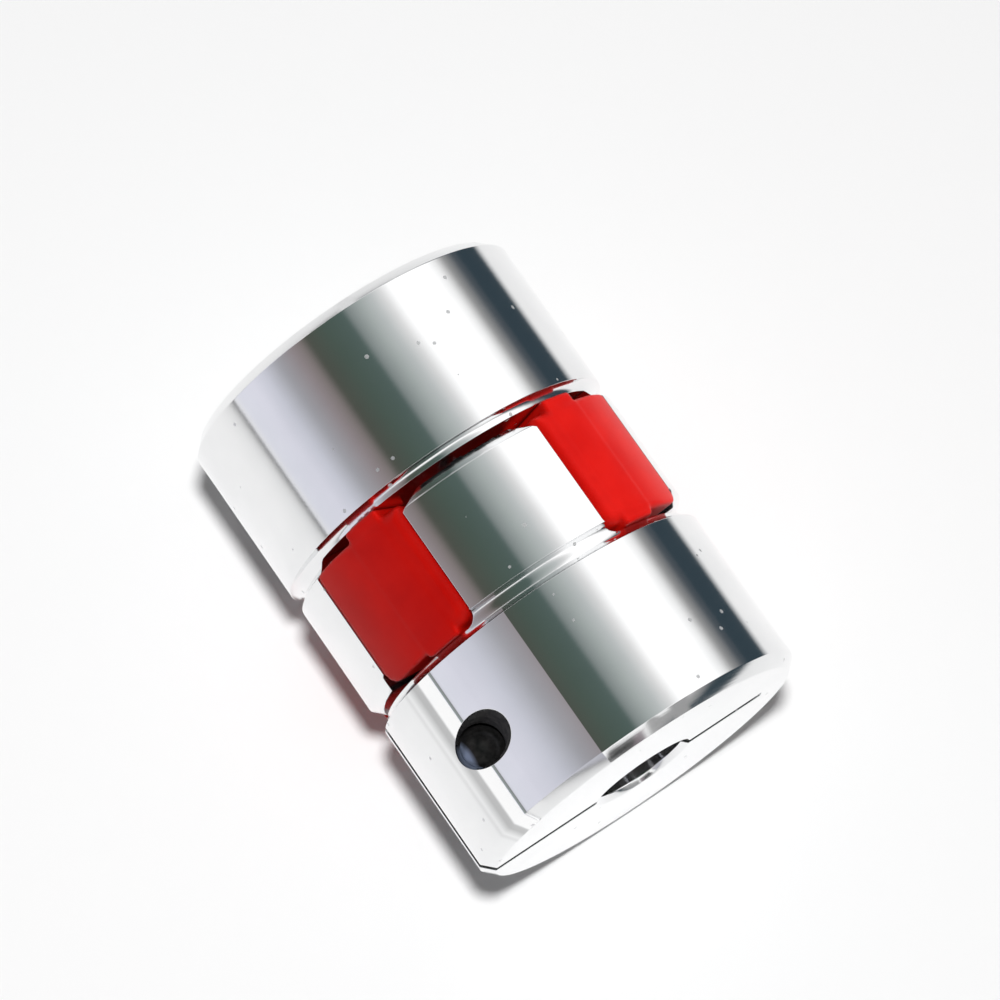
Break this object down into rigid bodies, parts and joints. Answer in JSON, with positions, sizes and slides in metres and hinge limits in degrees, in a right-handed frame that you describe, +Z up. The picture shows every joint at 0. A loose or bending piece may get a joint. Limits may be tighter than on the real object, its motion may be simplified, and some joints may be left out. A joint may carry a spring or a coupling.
{
  "type": "jaw coupling",
  "caption": "Clamp-type jaw shaft coupling: two slit aluminium hubs with interlocking jaws round a red elastomer spider.",
  "frame": {"origin": "centre of the coupling's axis, midway between the two hubs", "axes": "+X along the shaft axis towards the drive hub; +Z up, through the middle of one of the drive hub's jaws; the drive hub's slit opens towards -Y"},
  "size_m": [0.042, 0.03, 0.03],
  "materials": {
    "aluminium": "fine-turned, near-mirror satin",
    "elastomer": "smooth, slightly glossy moulded elastomer",
    "screw_steel": "black oxide, oiled"
  },
  "bodies": {
    "drive_hub": {"drive_hub": "aluminium"},
    "spider": {"spider": "elastomer"},
    "driven_hub": {"driven_hub": "aluminium"},
    "drive_clamp_screw": {"drive_clamp_screw": "screw_steel"},
    "driven_clamp_screw": {"driven_clamp_screw": "screw_steel"}
  },
  "joints": [
    {"name": "spider_wind_up", "type": "hinge", "parent": "drive_hub", "child": "spider", "pos_m": [0, 0, 0], "axis": [1, 0, 0], "range_deg": [-3, 3], "deforming": ["spider"]},
    {"name": "hub_plug_out", "type": "slide", "parent": "spider", "child": "driven_hub", "axis": [-1, 0, 0], "range_m": [0, 0.015]},
    {"name": "drive_screw_turn", "type": "hinge", "parent": "drive_hub", "child": "drive_clamp_screw", "pos_m": [0.0135, -0.0107, -0.0047], "axis": [0, 0, -1], "range_deg": [0, 360]},
    {"name": "driven_screw_turn", "type": "hinge", "parent": "driven_hub", "child": "driven_clamp_screw", "pos_m": [-0.0135, -0.0047, -0.0107], "axis": [0, -1, 0], "range_deg": [0, 360]}
  ]
}
